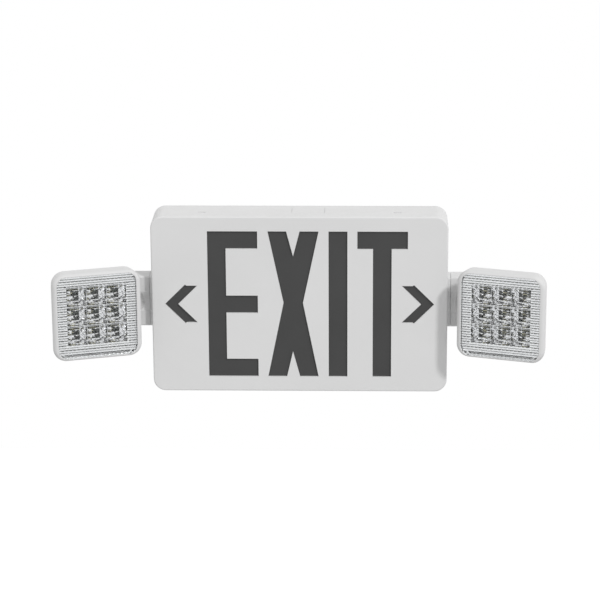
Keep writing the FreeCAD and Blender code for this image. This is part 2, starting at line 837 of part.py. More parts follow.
def head_lens():
    """Clear lens with flutes from side to side and a flange behind the bezel."""
    half = lens_size / 2 - fit_gap / 2
    floor = lens_front + flute_rise
    plate = slab(half, half, lens_corner - fit_gap / 2, floor, lens_back)
    count = int(lens_size / flute_pitch)
    radius = ((flute_pitch / 2) ** 2 + flute_rise ** 2) / (2 * flute_rise)
    outline = slab(half, half, lens_corner - fit_gap / 2, lens_front - 1, lens_back)
    flutes = []
    for i in range(count):
        z = (i - (count - 1) / 2) * flute_pitch
        flute = rod((-half, lens_front + radius, z), (1, 0, 0), radius, 2 * half)
        flutes.append(flute.common(box(-half, half, lens_front - 1, floor + 0.2, -half, half)))
    flutes = [flute.common(outline) for flute in flutes]
    rim = head_half - head_wall - fit_gap
    flange = slab(rim, rim, head_corner - head_wall, lens_back - lens_flange, lens_back)
    return merge(plate, flange, *flutes)


def cup_cavity(x, z):
    """One bowl of the reflector, turned from its arc and squared off by its cell."""
    mouth = Vector(cup_mouth_radius, lens_back, 0)
    waist = Vector(cup_waist_radius, lens_back + cup_waist, 0)
    floor = Vector(cup_floor_radius, lens_back + cup_depth, 0)
    centre_back, centre_front = Vector(0, floor.y, 0), Vector(0, mouth.y, 0)
    profile = Part.Wire([Part.Arc(mouth, waist, floor).toShape(),
                         Part.LineSegment(floor, centre_back).toShape(),
                         Part.LineSegment(centre_back, centre_front).toShape(),
                         Part.LineSegment(centre_front, mouth).toShape()])
    bowl = Part.Face(profile).revolve(Vector(0, 0, 0), Vector(0, 1, 0), 360)
    bowl.translate(Vector(x, 0, z))
    cell = centred_box((x, lens_back + cup_depth / 2, z),
                       (cup_pitch - cup_wall, cup_depth + 1, cup_pitch - cup_wall))
    hole = rod((x, floor.y - 0.5, z), (0, 1, 0), cup_floor_radius, reflector_floor + 1)
    return bowl.common(cell).fuse(hole)


def cup_places():
    return [(i * cup_pitch, j * cup_pitch) for i in (-1, 0, 1) for j in (-1, 0, 1)]


def head_reflector():
    """Three by three plated bowls behind a thin rim."""
    half = 1.5 * cup_pitch + cup_wall
    block = slab(half, half, reflector_corner, lens_back, reflector_back)
    rim_half = head_half - head_wall - fit_gap
    rim = slab(rim_half, rim_half, head_corner - head_wall, lens_back, lens_back + reflector_rim)
    return cut_all(merge(block, rim), [cup_cavity(x, z) for x, z in cup_places()])


def lamp_screw_places():
    d = lamp_board_size / 2 - lamp_screw_inset
    return [(i * d, j * d) for i in (-1, 1) for j in (-1, 1)]


def lamp_board():
    half = lamp_board_size / 2
    board = slab(half, half, lamp_board_corner, reflector_back, lamp_board_back)
    holes = [rod((x, reflector_back - 1, z), (0, 1, 0), screw_radius + board_hole_gap,
                 lamp_board_thickness + 2) for x, z in lamp_screw_places()]
    return cut_all(board, holes)


def lamp_leds():
    leds = []
    for x, z in cup_places():
        leds.append(centred_box((x, reflector_back - lamp_led_height / 2, z),
                                (lamp_led_size, lamp_led_height, lamp_led_size)))
    return Part.makeCompound(leds)


def lamp_screws():
    return Part.makeCompound([screw(x, reflector_back, z) for x, z in lamp_screw_places()])


housing_pieces = {
    "front_cover": front_cover,
    "canopy_blank": canopy_blank,
    "legend_panel": legend_panel,
    "diffuser_panel": diffuser_panel,
    "light_tray": light_tray,
    "top_led_strip": lambda: led_strip(1),
    "bottom_led_strip": lambda: led_strip(-1),
    "strip_leds": strip_leds,
    "back_plate": back_plate,
    "main_board": main_board,
    "board_screws": board_screws,
    "transformer": transformer,
    "capacitors": capacitors,
    "relay": relay,
    "board_connectors": board_connectors,
    "terminal_block": terminal_block,
    "battery_pack": battery_pack,
    "battery_strap": battery_strap,
    "control_board": control_board,
    "test_switch": test_switch,
    "test_button": test_button,
    "charge_lamp": charge_lamp,
    "charge_led": charge_led,
}

arm_pieces = {
    "collar": collar,
    "arm": arm,
    "swivel_washer": swivel_washer,
    "swivel_nut": swivel_nut,
    "yaw_pin": yaw_pin,
}

head_pieces = {
    "head_shell": head_shell,
    "head_bezel": head_bezel,
    "head_lens": head_lens,
    "head_reflector": head_reflector,
    "lamp_board": lamp_board,
    "lamp_leds": lamp_leds,
    "lamp_screws": lamp_screws,
}


def write(name, shape):
    shape.exportStep("parts/" + name + ".step")
    volume = sum(s.Volume for s in shape.Solids)
    print(name, "solids", len(shape.Solids), "volume", round(volume, 1), "valid", shape.isValid())


os.makedirs("parts", exist_ok=True)
for name, make in housing_pieces.items():
    write(name, make())
sides = {name: make() for name, make in arm_pieces.items()}
sides.update({name: set_head(make()) for name, make in head_pieces.items()})
for name, shape in sides.items():
    write("right_" + name, shape)
    write("left_" + name, shape.mirror(Vector(0, 0, 0), Vector(1, 0, 0)))
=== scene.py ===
import json
import math

import bmesh
import bpy
from mathutils import Matrix, Vector


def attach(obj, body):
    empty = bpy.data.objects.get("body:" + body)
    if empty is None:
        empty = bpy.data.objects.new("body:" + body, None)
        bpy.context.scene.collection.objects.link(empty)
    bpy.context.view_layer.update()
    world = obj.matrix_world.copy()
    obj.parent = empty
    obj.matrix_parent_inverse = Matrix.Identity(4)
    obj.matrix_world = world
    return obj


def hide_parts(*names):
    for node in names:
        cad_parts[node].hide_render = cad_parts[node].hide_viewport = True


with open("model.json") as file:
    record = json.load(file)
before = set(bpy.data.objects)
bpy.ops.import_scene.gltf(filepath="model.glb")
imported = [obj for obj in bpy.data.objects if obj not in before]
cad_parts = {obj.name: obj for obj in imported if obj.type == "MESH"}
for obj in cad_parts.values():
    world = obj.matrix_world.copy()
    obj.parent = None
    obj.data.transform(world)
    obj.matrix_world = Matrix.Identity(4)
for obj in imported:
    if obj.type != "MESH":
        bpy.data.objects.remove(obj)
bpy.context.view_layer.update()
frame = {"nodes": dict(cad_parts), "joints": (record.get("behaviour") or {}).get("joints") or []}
nodes = frame["nodes"]
joints = {joint["name"]: joint for joint in frame["joints"]}
scene = bpy.context.scene
print("frame loaded with", len(nodes), "nodes")

mm = 0.001  # the pieces' sizes are in millimetres, the studio's in metres


# Shader groups that several finishes share


def newGroup(name, inputs, outputs):
    group = bpy.data.node_groups.new(name, "ShaderNodeTree")
    for socketName, socketType, value in inputs:
        socket = group.interface.new_socket(name=socketName, in_out="INPUT", socket_type=socketType)
        if value is not None:
            socket.default_value = value
    for socketName, socketType in outputs:
        group.interface.new_socket(name=socketName, in_out="OUTPUT", socket_type=socketType)
    start = group.nodes.new("NodeGroupInput")
    end = group.nodes.new("NodeGroupOutput")
    return group, start, end


def addNode(tree, kind, settings=None, values=None):
    node = tree.nodes.new(kind)
    for key, value in (settings or {}).items():
        setattr(node, key, value)
    for key, value in (values or {}).items():
        node.inputs[key].default_value = value
    return node


def makeGrainGroup():
    # fine moulded texture: colour, roughness and bump height that wander over the surface
    group, start, end = newGroup(
        "mouldedGrain",
        [("Colour", "NodeSocketColor", (0.8, 0.8, 0.8, 1)),
         ("Deep Colour", "NodeSocketColor", (0.7, 0.7, 0.7, 1)),
         ("Grain Size", "NodeSocketFloat", 1500.0),
         ("Cloud Size", "NodeSocketFloat", 14.0),
         ("Low Roughness", "NodeSocketFloat", 0.35),
         ("High Roughness", "NodeSocketFloat", 0.5)],
        [("Colour", "NodeSocketColor"), ("Roughness", "NodeSocketFloat"), ("Height", "NodeSocketFloat")])
    links = group.links
    place = addNode(group, "ShaderNodeTexCoord")
    grain = addNode(group, "ShaderNodeTexNoise", values={"Detail": 3.0, "Roughness": 0.6})
    cloud = addNode(group, "ShaderNodeTexNoise", values={"Detail": 4.0, "Roughness": 0.55})
    pits = addNode(group, "ShaderNodeTexVoronoi", {"feature": "F1"})
    mixColour = addNode(group, "ShaderNodeMix", {"data_type": "RGBA"})
    cloudRange = addNode(group, "ShaderNodeMapRange", values={"From Min": 0.3, "From Max": 0.7})
    roughRange = addNode(group, "ShaderNodeMapRange", values={"From Min": 0.25, "From Max": 0.75})
    height = addNode(group, "ShaderNodeMath", {"operation": "ADD"})
    for texture in (grain, cloud, pits):
        links.new(place.outputs["Object"], texture.inputs["Vector"])
    links.new(start.outputs["Grain Size"], grain.inputs["Scale"])
    links.new(start.outputs["Grain Size"], pits.inputs["Scale"])
    links.new(start.outputs["Cloud Size"], cloud.inputs["Scale"])
    links.new(cloud.outputs["Fac"], cloudRange.inputs["Value"])
    links.new(cloudRange.outputs["Result"], mixColour.inputs["Factor"])
    links.new(start.outputs["Deep Colour"], mixColour.inputs["A"])
    links.new(start.outputs["Colour"], mixColour.inputs["B"])
    links.new(grain.outputs["Fac"], roughRange.inputs["Value"])
    links.new(start.outputs["Low Roughness"], roughRange.inputs["To Min"])
    links.new(start.outputs["High Roughness"], roughRange.inputs["To Max"])
    links.new(grain.outputs["Fac"], height.inputs[0])
    links.new(pits.outputs["Distance"], height.inputs[1])
    links.new(mixColour.outputs["Result"], end.inputs["Colour"])
    links.new(roughRange.outputs["Result"], end.inputs["Roughness"])
    links.new(height.outputs["Value"], end.inputs["Height"])
    return group


def makeDustGroup():
    # thin dust on what faces up, broken up by noise
    group, start, end = newGroup(
        "settledDust",
        [("Colour", "NodeSocketColor", (0.8, 0.8, 0.8, 1)),
         ("Dust Colour", "NodeSocketColor", (0.6, 0.58, 0.54, 1)),
         ("Roughness", "NodeSocketFloat", 0.4),
         ("Amount", "NodeSocketFloat", 0.1)],
        [("Colour", "NodeSocketColor"), ("Roughness", "NodeSocketFloat")])
    links = group.links
    place = addNode(group, "ShaderNodeTexCoord")
    shape = addNode(group, "ShaderNodeNewGeometry")
    split = addNode(group, "ShaderNodeSeparateXYZ")
    up = addNode(group, "ShaderNodeMapRange", values={"From Min": 0.35, "From Max": 0.95})
    speckle = addNode(group, "ShaderNodeTexNoise", values={"Scale": 90.0, "Detail": 6.0, "Roughness": 0.7})
    speckleRange = addNode(group, "ShaderNodeMapRange", values={"From Min": 0.4, "From Max": 0.7})
    both = addNode(group, "ShaderNodeMath", {"operation": "MULTIPLY"})
    amount = addNode(group, "ShaderNodeMath", {"operation": "MULTIPLY"})
    mixColour = addNode(group, "ShaderNodeMix", {"data_type": "RGBA"})
    mixRough = addNode(group, "ShaderNodeMix", {"data_type": "FLOAT"}, {"B": 0.85})
    links.new(place.outputs["Object"], speckle.inputs["Vector"])
    links.new(shape.outputs["Normal"], split.inputs["Vector"])
    links.new(split.outputs["Z"], up.inputs["Value"])
    links.new(speckle.outputs["Fac"], speckleRange.inputs["Value"])
    links.new(up.outputs["Result"], both.inputs[0])
    links.new(speckleRange.outputs["Result"], both.inputs[1])
    links.new(both.outputs["Value"], amount.inputs[0])
    links.new(start.outputs["Amount"], amount.inputs[1])
    links.new(amount.outputs["Value"], mixColour.inputs["Factor"])
    links.new(start.outputs["Colour"], mixColour.inputs["A"])
    links.new(start.outputs["Dust Colour"], mixColour.inputs["B"])
    links.new(amount.outputs["Value"], mixRough.inputs["Factor"])
    links.new(start.outputs["Roughness"], mixRough.inputs["A"])
    links.new(mixColour.outputs["Result"], end.inputs["Colour"])
    links.new(mixRough.outputs["Result"], end.inputs["Roughness"])
    return group


grainGroup = makeGrainGroup()
dustGroup = makeDustGroup()
grainHeight = 0.0001  # metres that the deepest grain stands for in the bump


def makeFinish(name, look):
    # plain holds values that are the same all over, for the shader's own sockets
    material = bpy.data.materials.new(name)
    material.use_nodes = True
    tree = material.node_tree
    tree.nodes.clear()
    output = addNode(tree, "ShaderNodeOutputMaterial")
    shader = addNode(tree, "ShaderNodeBsdfPrincipled", values=look.get("plain", {}))
    grain = addNode(tree, "ShaderNodeGroup", {"node_tree": grainGroup}, {
        "Colour": (*look["colour"], 1), "Deep Colour": (*look["deep"], 1),
        "Grain Size": look["grain"], "Cloud Size": look["cloud"],
        "Low Roughness": look["rough"][0], "High Roughness": look["rough"][1]})
    bump = addNode(tree, "ShaderNodeBump", values={"Strength": look["bump"], "Distance": grainHeight})
    tree.links.new(grain.outputs["Height"], bump.inputs["Height"])
    tree.links.new(bump.outputs["Normal"], shader.inputs["Normal"])
    if look.get("dust"):
        dust = addNode(tree, "ShaderNodeGroup", {"node_tree": dustGroup}, {
            "Dust Colour": (*look["dustColour"], 1), "Amount": look["dust"]})
        tree.links.new(grain.outputs["Colour"], dust.inputs["Colour"])
        tree.links.new(grain.outputs["Roughness"], dust.inputs["Roughness"])
        tree.links.new(dust.outputs["Colour"], shader.inputs["Base Color"])
        tree.links.new(dust.outputs["Roughness"], shader.inputs["Roughness"])
    else:
        tree.links.new(grain.outputs["Colour"], shader.inputs["Base Color"])
        tree.links.new(grain.outputs["Roughness"], shader.inputs["Roughness"])
    tree.links.new(shader.outputs["BSDF"], output.inputs["Surface"])
    return material


finishes = {
    "housing": dict(
        colour=(0.775, 0.775, 0.775), deep=(0.745, 0.745, 0.745), grain=1400, cloud=9, rough=(0.38, 0.5),
        bump=0.12, dust=0.12, dustColour=(0.62, 0.61, 0.59)),
    # the heads' white is a little darker than the housing's: partly the heads' own tone, partly painted
    # shade for the shaded rims of the heads and for the arms
    "head_housing": dict(
        colour=(0.74, 0.74, 0.74), deep=(0.71, 0.71, 0.71), grain=1500, cloud=12, rough=(0.34, 0.46),
        bump=0.1, dust=0.1, dustColour=(0.62, 0.61, 0.59)),
    "legend": dict(
        colour=(0.060, 0.060, 0.060), deep=(0.053, 0.053, 0.053), grain=900, cloud=20, rough=(0.42, 0.55),
        bump=0.1),
    "diffuser": dict(
        colour=(0.74, 0.74, 0.73), deep=(0.70, 0.70, 0.69), grain=700, cloud=15, rough=(0.45, 0.6),
        bump=0.15),
    "tray": dict(
        colour=(0.82, 0.82, 0.81), deep=(0.78, 0.78, 0.77), grain=1200, cloud=12, rough=(0.3, 0.4),
        bump=0.08),
    "circuit_board": dict(
        colour=(0.02, 0.16, 0.06), deep=(0.012, 0.10, 0.04), grain=500, cloud=160, rough=(0.28, 0.42),
        bump=0.2),
    "lampBoard": dict(
        colour=(0.045, 0.055, 0.048), deep=(0.03, 0.038, 0.032), grain=500, cloud=160, rough=(0.28, 0.42),
        bump=0.2),
    "led": dict(
        colour=(0.80, 0.76, 0.52), deep=(0.72, 0.67, 0.42), grain=1200, cloud=300, rough=(0.2, 0.35),
        bump=0.1),
    "steel": dict(
        colour=(0.62, 0.62, 0.63), deep=(0.48, 0.48, 0.49), grain=1800, cloud=60, rough=(0.2, 0.38),
        bump=0.15, plain={"Metallic": 1.0}),
    "transformer": dict(
        colour=(0.20, 0.19, 0.17), deep=(0.10, 0.10, 0.09), grain=900, cloud=90, rough=(0.35, 0.55),
        bump=0.3),
    "component": dict(
        colour=(0.03, 0.035, 0.04), deep=(0.02, 0.022, 0.025), grain=900, cloud=80, rough=(0.3, 0.5),
        bump=0.15),
    "battery": dict(
        colour=(0.10, 0.18, 0.42), deep=(0.07, 0.13, 0.33), grain=800, cloud=50, rough=(0.25, 0.4),
        bump=0.1),
    "button": dict(
        colour=(0.50, 0.50, 0.50), deep=(0.45, 0.45, 0.45), grain=1500, cloud=80, rough=(0.32, 0.45),
        bump=0.12),
    "charge_lamp": dict(
        colour=(0.10, 0.50, 0.14), deep=(0.07, 0.38, 0.10), grain=900, cloud=120, rough=(0.12, 0.2),
        bump=0.05),
    "reflector": dict(
        colour=(0.93, 0.93, 0.94), deep=(0.89, 0.89, 0.90), grain=600, cloud=60, rough=(0.03, 0.08),
        bump=0.04, plain={"Metallic": 1.0}),
    "plate": dict(
        colour=(0.88, 0.88, 0.89), deep=(0.82, 0.82, 0.83), grain=600, cloud=60, rough=(0.06, 0.14),
        bump=0.06, plain={"Metallic": 1.0}),
    "lens": dict(
        colour=(0.97, 0.98, 0.98), deep=(0.93, 0.94, 0.94), grain=220, cloud=40, rough=(0.02, 0.05),
        bump=0.04, plain={"Transmission Weight": 1.0, "IOR": 1.49}),
}
materials = {name: makeFinish(name + "Finish", look) for name, look in finishes.items()}

nodeFinishes = {  # nodes that keep their own shape
    "canopy_blank": "housing", "back_plate": "housing", "legend_panel": "legend",
    "diffuser_panel": "diffuser", "light_tray": "tray", "top_led_strip": "circuit_board",
    "bottom_led_strip": "circuit_board", "strip_leds": "led", "main_board": "circuit_board",
    "board_screws": "steel", "transformer": "transformer", "capacitors": "component",
    "relay": "component", "board_connectors": "tray", "terminal_block": "component",
    "battery_pack": "battery", "battery_strap": "tray", "control_board": "circuit_board",
    "test_switch": "component", "test_button": "button", "charge_lamp": "charge_lamp", "charge_led": "led",
}
sideFinishes = {  # the same for what stands at each side
    # the arms take the heads' darker white, which paints shade on the arms beside the housing
    "collar": "housing", "arm": "head_housing", "swivel_washer": "steel", "swivel_nut": "steel",
    "yaw_pin": "steel", "head_shell": "head_housing", "head_bezel": "head_housing",
    "lamp_board": "lampBoard", "lamp_leds": "led", "lamp_screws": "steel",
}
for side in ("right", "left"):
    for part, finishName in sideFinishes.items():
        nodeFinishes[side + "_" + part] = finishName


def dressNode(nodeName, material):
    mesh = nodes[nodeName].data
    if not mesh.materials:
        mesh.materials.append(material)
    for index in range(len(mesh.materials)):
        mesh.materials[index] = material


for nodeName, finishName in nodeFinishes.items():
    dressNode(nodeName, materials[finishName])
print("finishes made and set on", len(nodeFinishes), "nodes")


# Mesh helpers


def roundedRing(halfX, halfZ, corner, steps):
    # points round a rectangle with round corners, anticlockwise seen from the front
    points = []
    for cornerX, cornerZ, turn in ((1, -1, -90), (1, 1, 0), (-1, 1, 90), (-1, -1, 180)):
        for step in range(steps + 1):
            angle = math.radians(turn + 90 * step / steps)
            points.append((cornerX * (halfX - corner) + corner * math.cos(angle),
                           cornerZ * (halfZ - corner) + corner * math.sin(angle)))
    return points


def meshFrom(name, points, faces):
    mesh = bpy.data.meshes.new(name)
    mesh.from_pydata([Vector(p) * mm for p in points], [], faces)
    work = bmesh.new()
    work.from_mesh(mesh)
    bmesh.ops.remove_doubles(work, verts=work.verts, dist=1e-7)
    bmesh.ops.recalc_face_normals(work, faces=work.faces)
    work.to_mesh(mesh)
    work.free()
    piece = bpy.data.objects.new(name, mesh)
    scene.collection.objects.link(piece)
    return piece


def joinRings(rings, closed):
    # points of all rings, and faces from each ring to the next, and from the last to the first when closed
    count = len(rings[0])
    points = [point for ring in rings for point in ring]
    faces = []
    for level in range(len(rings) if closed else len(rings) - 1):
        after = (level + 1) % len(rings)
        for i in range(count):
            j = (i + 1) % count
            faces.append((level * count + i, level * count + j, after * count + j, after * count + i))
    return points, faces


def prism(name, outline, low, high, axis="y"):
    # closed prism from an outline, along the axis named
    slot = "xyz".index(axis)
    count = len(outline)
    points = [(*pair[:slot], level, *pair[slot:]) for level in (low, high) for pair in outline]
    faces = [tuple(range(count)), tuple(range(2 * count - 1, count - 1, -1))]
    faces += [(i, (i + 1) % count, (i + 1) % count + count, i + count) for i in range(count)]
    return meshFrom(name, points, faces)


def circle(centreA, centreB, radius, steps=40):
    return [(centreA + radius * math.cos(2 * math.pi * i / steps),
             centreB + radius * math.sin(2 * math.pi * i / steps)) for i in range(steps)]


def rectangle(a0, a1, b0, b1):
    return [(a0, b0), (a1, b0), (a1, b1), (a0, b1)]


def settle(piece):
    # put the modifiers into the mesh
    graph = bpy.context.evaluated_depsgraph_get()
    graph.update()
    final = bpy.data.meshes.new_from_object(piece.evaluated_get(graph))
    old = piece.data
    piece.modifiers.clear()
    piece.data = final
    bpy.data.meshes.remove(old)


def cutAll(piece, cutters):
    for cutter in cutters:
        change = piece.modifiers.new("cut", "BOOLEAN")
        change.operation = "DIFFERENCE"
        change.solver = "EXACT"
        change.object = cutter
        settle(piece)
        bpy.data.objects.remove(cutter)


def softenEdges(piece, width, segments=2, angle=32):
    bevel = piece.modifiers.new("soften", "BEVEL")
    bevel.width = width * mm
    bevel.segments = segments
    bevel.limit_method = "ANGLE"
    bevel.angle_limit = math.radians(angle)
    bevel.use_clamp_overlap = True
    settle(piece)


def shadeSmooth(piece, angle):
    for face in piece.data.polygons:
        face.use_smooth = True
    piece.data.set_sharp_from_angle(angle=math.radians(angle))


def shadeRound(piece, angle=35):
    # smooth shading led by the large faces, so that flat ones stay flat
    shadeSmooth(piece, angle)
    weight = piece.modifiers.new("weigh", "WEIGHTED_NORMAL")
    weight.keep_sharp = True
    weight.weight = 80
    settle(piece)


def finish(piece, material, body, replaced=()):
    piece.data.materials.clear()
    piece.data.materials.append(material)
    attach(piece, body)
    if replaced:
        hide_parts(*replaced)
    return piece


# Front cover with the legend cut through it

cover = {
    "halfWidth": 148.5, "halfHeight": 91.5, "corner": 12.5, "front": -44.5, "back": -2.5,
    "wall": 2.2, "face": 2.0, "edgeRound": 1.6, "edgeSteps": 6, "rearRound": 0.25, "cornerSteps": 14,
    "soften": 0.22,
    "blank": (8.6, -19.5, 33.0, 19.5),  # place, width and length of its opening in the top
    "snaps": (98.0, -27.0, 8.0, 2.6),  # the same for the snap windows, at both sides of top and underside
    "button": (66.0, -17.5, 4.1),  # place and radius in the underside
    "lamp": (82.0, -17.5, 2.5),
    "armY": -22.0, "spigot": 8.2,
    "cutPast": 1,  # how far a cutter reaches past the wall
}
legend = {
    "E": [(-91.9, 76.5), (-91.9, -75.7), (-41.8, -75.7), (-41.8, -57.0), (-73.5, -57.0), (-73.5, -8.5),
          (-41.8, -8.5), (-41.8, 9.7), (-73.5, 9.7), (-73.5, 58.5), (-41.8, 58.5), (-41.8, 76.5)],
    "X": [(-31.55, 76.5), (-16.0, 2.1), (-31.92, -75.7), (-12.88, -75.7), (-6.8, -49.3), (0.3, -75.7),
          (19.04, -75.7), (3.5, 2.1), (19.37, 76.5), (0.48, 76.5), (-6.2, 50.7), (-12.94, 76.5)],
    "I": [(29.3, 76.5), (29.3, -75.7), (48.1, -75.7), (48.1, 76.5)],
    "T": [(58.0, 76.5), (58.0, 58.3), (73.6, 58.3), (73.6, -75.7), (92.2, -75.7), (92.2, 58.3),
          (108.3, 58.3), (108.3, 76.5)],
    "leftChevron": [(-135.2, 0.65), (-114.9, -19.65), (-113.4, -18.6), (-102.55, -18.6), (-121.8, 0.65),
                    (-102.55, 19.9), (-113.4, 19.9), (-114.9, 20.95)],
    "rightChevron": [(135.1, 0.9), (114.8, 21.2), (113.3, 20.15), (102.45, 20.15), (121.7, 0.9),
                     (102.45, -18.35), (113.3, -18.35), (114.8, -19.4)],
}


def makeCover():
    c = cover
    rings = []

    def ring(inset, y):
        outline = roundedRing(c["halfWidth"] - inset, c["halfHeight"] - inset, c["corner"] - inset,
                              c["cornerSteps"])
        rings.append([(x, y, z) for x, z in outline])

    ring(c["wall"], c["front"] + c["face"])
    ring(c["wall"], c["back"])
    ring(c["rearRound"], c["back"])
    ring(0.0, c["back"] - c["rearRound"])
    for step in range(c["edgeSteps"] + 1):
        angle = math.pi / 2 * step / c["edgeSteps"]
        ring(c["edgeRound"] * (1 - math.cos(angle)), c["front"] + c["edgeRound"] * (1 - math.sin(angle)))
    points, walls = joinRings(rings, False)
    count = len(rings[0])
    ends = [tuple(range(count)), tuple(range(len(points) - count, len(points)))]
    piece = meshFrom("frontCover", points, ends + walls)

    past = c["cutPast"]
    through = (c["front"] - past, c["front"] + c["face"] + past)
    top = (c["halfHeight"] - c["wall"] - past, c["halfHeight"] + past)
    underside = (-top[1], -top[0])
    cutters = [prism(name, outline, *through) for name, outline in legend.items()]
    x, y, width, length = c["blank"]
    outline = rectangle(x - width / 2, x + width / 2, y - length / 2, y + length / 2)
    cutters.append(prism("blankCut", outline, *top, axis="z"))
    reach, y, width, length = c["snaps"]
    for x in (-reach, reach):
        outline = rectangle(x - width / 2, x + width / 2, y - length / 2, y + length / 2)
        cutters.append(prism("snapCut", outline, *top, axis="z"))
        cutters.append(prism("snapCut", outline, *underside, axis="z"))
    for x, y, radius in (c["button"], c["lamp"]):
        cutters.append(prism("holeCut", circle(x, y, radius), *underside, axis="z"))
    for side in (-1, 1):
        low, high = sorted((side * (c["halfWidth"] - c["wall"] - past), side * (c["halfWidth"] + past)))
        cutters.append(prism("spigotCut", circle(c["armY"], 0, c["spigot"]), low, high, axis="x"))
    cutAll(piece, cutters)
    softenEdges(piece, c["soften"])
    shadeRound(piece)
    return finish(piece, materials["housing"], "housing", ["front_cover"])


frontCover = makeCover()
print("front cover made with", len(frontCover.data.polygons), "faces")


# Lamp heads: made facing straight ahead with the pin at the origin, then turned and put in place

head = {
    "yaw": 17.5, "lensFront": -65.7, "half": 44.65, "corner": 13.0, "cornerSteps": 12, "wall": 2.2,
    "flat": 6.0, "lean": 1.9, "leanEnd": 16.5,  # the two sides lean in between these depths
}
sides = {
    "right": {"turn": -1, "joint": "right_head_turn", "body": "right_lamp"},
    "left": {"turn": 1, "joint": "left_head_turn", "body": "left_lamp"},
}


def headRing(inset, depth, insetZ=None):
    # ring of the head's walls at a depth behind its front
    h = head
    lean = h["lean"] * max(0.0, depth - h["flat"]) / (h["leanEnd"] - h["flat"])
    halfX = h["half"] - lean - inset
    halfZ = h["half"] - (inset if insetZ is None else insetZ)
    outline = roundedRing(halfX, halfZ, h["corner"] - inset, h["cornerSteps"])
    return [(x, h["lensFront"] + depth, z) for x, z in outline]


# Bezel round the lens

bezel = {
    "depth": 10.0, "round": 4.3, "roundLow": 2.8, "roundSteps": 8, "roundEnd": 82, "lip": 3.0,
    "mouthX": 39.85, "mouthZ": 42.4, "mouthCorner": 9.6, "mouthRound": 0.3, "mouthSteps": 3, "sharp": 40,
}


def mouthRing(grow, depth):
    b = bezel
    outline = roundedRing(b["mouthX"] + grow, b["mouthZ"] + grow, b["mouthCorner"] + grow,
                          head["cornerSteps"])
    return [(x, head["lensFront"] + depth, z) for x, z in outline]


def makeBezel(side):
    b = bezel
    wall, flat = head["wall"], head["flat"]
    rings = [headRing(wall, b["depth"]), headRing(0.0, b["depth"]), headRing(0.0, flat)]
    for step in range(b["roundSteps"]):
        angle = math.radians(b["roundEnd"]) * step / (b["roundSteps"] - 1)
        inward, depth = 1 - math.cos(angle), 1 - math.sin(angle)
        rings.append(headRing(b["round"] * inward, b["round"] * depth, b["roundLow"] * inward))
    for step in range(b["mouthSteps"] + 1):
        angle = math.pi / 2 * step / b["mouthSteps"]
        grow, depth = 1 - math.sin(angle), 1 - math.cos(angle)
        rings.append(mouthRing(b["mouthRound"] * grow, b["mouthRound"] * depth))
    rings += [mouthRing(0.0, b["lip"]), headRing(wall, b["lip"]), headRing(wall, flat)]
    piece = meshFrom(side + "Bezel", *joinRings(rings, True))
    shadeRound(piece, b["sharp"])
    return piece


# Lens: flutes from side to side in front, each with a groove along its middle, and upright ribs behind

lens = {
    "gap": 0.06, "flange": 1.5, "flangeHalf": 42.4,
    "flutePitch": 5.05, "fluteRise": 1.0, "fluteSteps": 10, "grooveDeep": 0.24, "grooveHalf": 0.55,
    "ribPitch": 4.0, "ribRise": 0.35, "ribSteps": 6, "cornerRows": 7, "sharp": 28,
}


def behindLens(gap):
    return head["lensFront"] + bezel["lip"] + lens["flange"] + gap


def cornerReach(z, halfX, halfZ, corner):
    # how far to the side a rectangle with round corners goes at height z
    over = abs(z) - (halfZ - corner)
    if over <= 0:
        return halfX
    return halfX - corner + math.sqrt(max(corner ** 2 - min(over, corner) ** 2, 0.0))


def acrossPitch(value, pitch):
    # place within one pitch, from -0.5 to 0.5
    return (value / pitch + 0.5) % 1.0 - 0.5


def fluteFront(z):
    pitch, rise = lens["flutePitch"], lens["fluteRise"]
    radius = ((pitch / 2) ** 2 + rise ** 2) / (2 * rise)
    across = acrossPitch(z, pitch) * pitch
    groove = lens["grooveDeep"] * max(0.0, 1 - abs(across) / lens["grooveHalf"])
    return head["lensFront"] + radius - math.sqrt(radius ** 2 - across ** 2) + groove


def ribBack(x):
    return lens["ribRise"] * (2 * acrossPitch(x, lens["ribPitch"])) ** 2


def lensRows(halfZ, corner):
    # heights of the flutes' rows, and more rows where the corners curve
    step = lens["flutePitch"] / lens["fluteSteps"]
    count = int(halfZ / step)
    rows = [i * step for i in range(-count, count + 1)]
    for k in range(1, lens["cornerRows"] + 1):
        offset = corner * (1 - math.sin(math.radians(90 * k / lens["cornerRows"])))
        rows += [halfZ - offset, offset - halfZ]
    rows += [halfZ, -halfZ]
    return sorted(set(round(z, 4) for z in rows))


